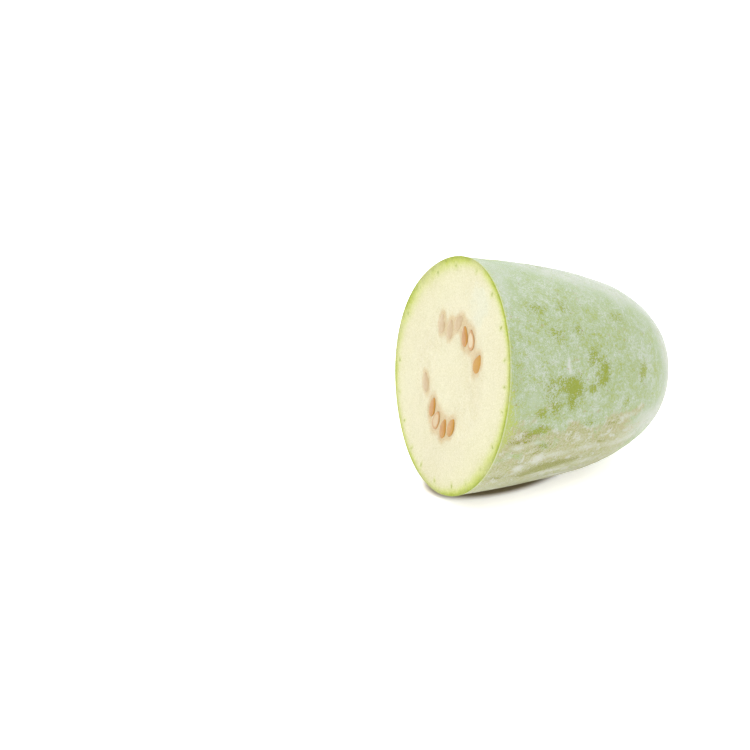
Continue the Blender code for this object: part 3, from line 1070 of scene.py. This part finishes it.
def flesh_material():
    """Watery flesh, painted cream for the shade and warm reflected light on the cut face: green under the
    rind, cloudy in the pulp, tan near the seeds.
    """
    nodes = Shader("gourd_flesh", FLESH_NOISES, FLESH_LIGHT)
    cloud, grain, dust = [nodes.noises[key] for key in ("cloud", "grain", "dust")]
    depth = nodes.varied(nodes.attribute("green_and_shade_depth"), green=1.6, grain=1.6)
    stops = [(place / FLESH_RAMP_DEPTH, tint) for place, tint in FLESH_TINTS]
    colour = nodes.tints(nodes.math("DIVIDE", depth, FLESH_RAMP_DEPTH), stops)
    pulp = nodes.times(nodes.attribute("pulp"), nodes.step(cloud, *PULP_RANGE))
    colour = nodes.tinted(nodes.times(pulp, PULP_COVER), colour, PULP_TINT)
    broad = nodes.step(nodes.noises["broad"], *BROAD_RANGE)
    colour = nodes.tinted(nodes.times(broad, BROAD_COVER), colour, PULP_TINT)
    # painted highlight on the wet cut face
    painted_highlight = nodes.varied(nodes.attribute("painted_highlight"), cloud=1.5, grain=1.0)
    painted_highlight = nodes.step(painted_highlight, *PAINTED_HIGHLIGHT_RANGE)
    colour = nodes.tinted(painted_highlight, colour, PAINTED_HIGHLIGHT_TINT)
    # the seeds' stains, with the shade of their pockets painted in
    stain = nodes.step(nodes.varied(nodes.attribute("stain"), stain=0.55, grain=0.8), *STAIN_AND_SHADE_RANGE)
    colour = nodes.tinted(nodes.times(stain, STAIN_AND_SHADE_COVER), colour, STAIN_AND_SHADE_TINT)
    colour = with_strands(nodes, colour)
    speckle = nodes.ramp(nodes.varied(0.5, dust=1.3, grain=0.7), SPECKLE_COLOURS)
    colour = nodes.mix(SPECKLE_COVER, colour, speckle, "SOFT_LIGHT")

    height = nodes.total(grain, nodes.times(dust, 0.5), nodes.times(cloud, 0.8))
    nodes.bump(height, distance=0.12 * MM, strength=0.6)
    gloss = nodes.varied(cloud, grain=0.8)
    return nodes.finish(
        Base_Color=colour, Roughness=nodes.step(gloss, low=0.25, high=0.75, start=0.36, end=0.56),
        Subsurface_Weight=0.22, Subsurface_Radius=(1.0, 0.85, 0.45), Subsurface_Scale=2.2 * MM,
        Specular_IOR_Level=0.42,
    )


def seed_material(kind):
    """The coat of a seed with its margin; a cut one shows its kernel, a veiled one wears a film of pulp."""
    nodes = Shader(f"{kind}_seed", SEED_NOISES, FLESH_LIGHT)
    wrinkles, blotches = nodes.noises["wrinkles"], nodes.noises["blotches"]
    *tones, margin = SEED_TINTS[kind]
    tone = nodes.varied(nodes.attribute("tone"), blotches=1.5, wrinkles=0.6)
    colour = nodes.tints(tone, list(zip(SEED_TONE_PLACES, tones)))
    edge = nodes.step(nodes.varied(nodes.attribute("spread"), wrinkles=0.12), *SEED_RIMS[kind])
    colour = nodes.tinted(nodes.times(edge, SEED_RIM_COVER), colour, margin)
    nodes.bump(nodes.total(wrinkles, nodes.times(blotches, 0.6)), distance=0.10 * MM, strength=0.7)
    return nodes.finish(
        Base_Color=colour, Roughness=nodes.step(wrinkles, low=0.3, high=0.7, start=0.30, end=0.50),
        Subsurface_Weight=0.18, Subsurface_Radius=(1.0, 0.6, 0.25), Subsurface_Scale=1.2 * MM,
        Specular_IOR_Level=0.45, Coat_Weight=0.12, Coat_Roughness=0.25,
    )


def cork_material():
    """Dry corky scar tissue."""
    nodes = Shader("corky_scar", CORK_NOISES)
    blotches, fine = nodes.noises["blotches"], nodes.noises["fine"]
    colour = nodes.tints(nodes.varied(0.5, blotches=1.0, fine=0.8), CORK_TINTS)
    nodes.bump(nodes.total(fine, nodes.times(blotches, 1.5)), distance=0.25 * MM, strength=0.9)
    return nodes.finish(Base_Color=colour, Roughness=0.85, Specular_IOR_Level=0.25)


# The studio


def add_floor():
    """A plain white light table with a painted shadow under the half: in an oval there its glow fades to
    nothing and its colour turns to a painted brown shade.
    """
    mesh = bpy.data.meshes.new("floor")
    half = FLOOR_SIZE / 2
    corners = [(-half, -half, 0), (half, -half, 0), (half, half, 0), (-half, half, 0)]
    mesh.from_pydata(corners, [], [(0, 1, 2, 3)])
    floor = bpy.data.objects.new("floor", mesh)
    floor.location.z = FLOOR_LEVEL
    bpy.context.scene.collection.objects.link(floor)
    nodes = Shader("white_floor")
    beside = nodes.node("VectorMath", {0: nodes.place, 1: SHADE_MIDDLE}, operation="SUBTRACT").outputs[0]
    beside = nodes.node("VectorMath", {0: beside, 1: SHADE_HALF}, operation="DIVIDE").outputs[0]
    away = nodes.node("VectorMath", {0: beside}, operation="LENGTH").outputs["Value"]
    # painted shadow: inside the oval the glow fades out and the colour turns brown
    glow = nodes.step(away, *SHADE_EDGE, 0.0, FLOOR_GLOW)
    colour = nodes.mix(nodes.step(away, *SHADE_EDGE), SHADE_COLOUR, FLOOR_COLOUR)
    mesh.materials.append(nodes.finish(
        Base_Color=colour, Roughness=0.9, Specular_IOR_Level=0.1,
        Emission_Color=(1, 1, 1, 1), Emission_Strength=glow,
    ))


def add_light():
    """A white sky, brighter overhead, and a broad soft lamp above and in front of the cut face."""
    world = bpy.data.worlds.new("sky")
    world.use_nodes = True
    tree = world.node_tree
    sky = tree.nodes["Background"]
    sky.inputs["Color"].default_value = SKY_COLOUR
    ways = tree.nodes.new("ShaderNodeTexCoord")
    height = tree.nodes.new("ShaderNodeSeparateXYZ")
    rise = tree.nodes.new("ShaderNodeMapRange")
    rise.interpolation_type = "SMOOTHSTEP"
    for key, value in (("From Min", 0), ("From Max", SKY_HEIGHT), ("To Min", SKY_EDGE), ("To Max", SKY_TOP)):
        rise.inputs[key].default_value = value
    tree.links.new(ways.outputs["Generated"], height.inputs[0])
    tree.links.new(height.outputs["Z"], rise.inputs["Value"])
    tree.links.new(rise.outputs[0], sky.inputs["Strength"])
    backdrop = tree.nodes.new("ShaderNodeBackground")
    backdrop.inputs["Color"].default_value = SKY_COLOUR
    backdrop.inputs["Strength"].default_value = BACKDROP_STRENGTH
    seen = tree.nodes.new("ShaderNodeMixShader")
    tree.links.new(tree.nodes.new("ShaderNodeLightPath").outputs["Is Camera Ray"], seen.inputs[0])
    tree.links.new(sky.outputs[0], seen.inputs[1])
    tree.links.new(backdrop.outputs[0], seen.inputs[2])
    tree.links.new(seen.outputs[0], tree.nodes["World Output"].inputs["Surface"])
    bpy.context.scene.world = world
    lamp = bpy.data.lights.new("soft_lamp", "AREA")
    lamp.shape = "DISK"
    lamp.size = LAMP_SIZE
    lamp.energy = LAMP_POWER
    holder = bpy.data.objects.new("soft_lamp", lamp)
    holder.location = LAMP_PLACE
    holder.rotation_euler = (LAMP_PLACE - LAMP_AIM).to_track_quat("Z", "Y").to_euler()
    bpy.context.scene.collection.objects.link(holder)


def add_camera():
    """The camera at the photograph's viewing angle."""
    back = Vector((
        math.sin(CAMERA_AZIMUTH) * math.cos(CAMERA_ELEVATION),
        -math.cos(CAMERA_AZIMUTH) * math.cos(CAMERA_ELEVATION),
        math.sin(CAMERA_ELEVATION),
    ))
    lens = bpy.data.cameras.new("camera")
    lens.sensor_width = SENSOR_WIDTH
    lens.lens = SENSOR_WIDTH * FOCAL_PIXELS / PICTURE_WIDTH
    camera = bpy.data.objects.new("camera", lens)
    camera.location = CAMERA_TARGET + back * CAMERA_DISTANCE
    camera.rotation_euler = back.to_track_quat("Z", "Y").to_euler()
    bpy.context.scene.collection.objects.link(camera)
    bpy.context.scene.camera = camera


def main():
    """Builds the studio and the pieces."""
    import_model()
    bpy.context.scene.view_settings.view_transform = "Standard"
    add_camera()
    add_light()
    add_floor()
    places = seed_places()
    offset = add_body(places)
    materials = {kind: seed_material(kind) for kind in SEED_TINTS}
    for number, (kind, place) in enumerate(zip(SEED_KINDS, places), start=1):
        add_seed(number, kind, place, offset, materials[kind])
    add_scar(offset)
    bpy.context.view_layer.update()


main()
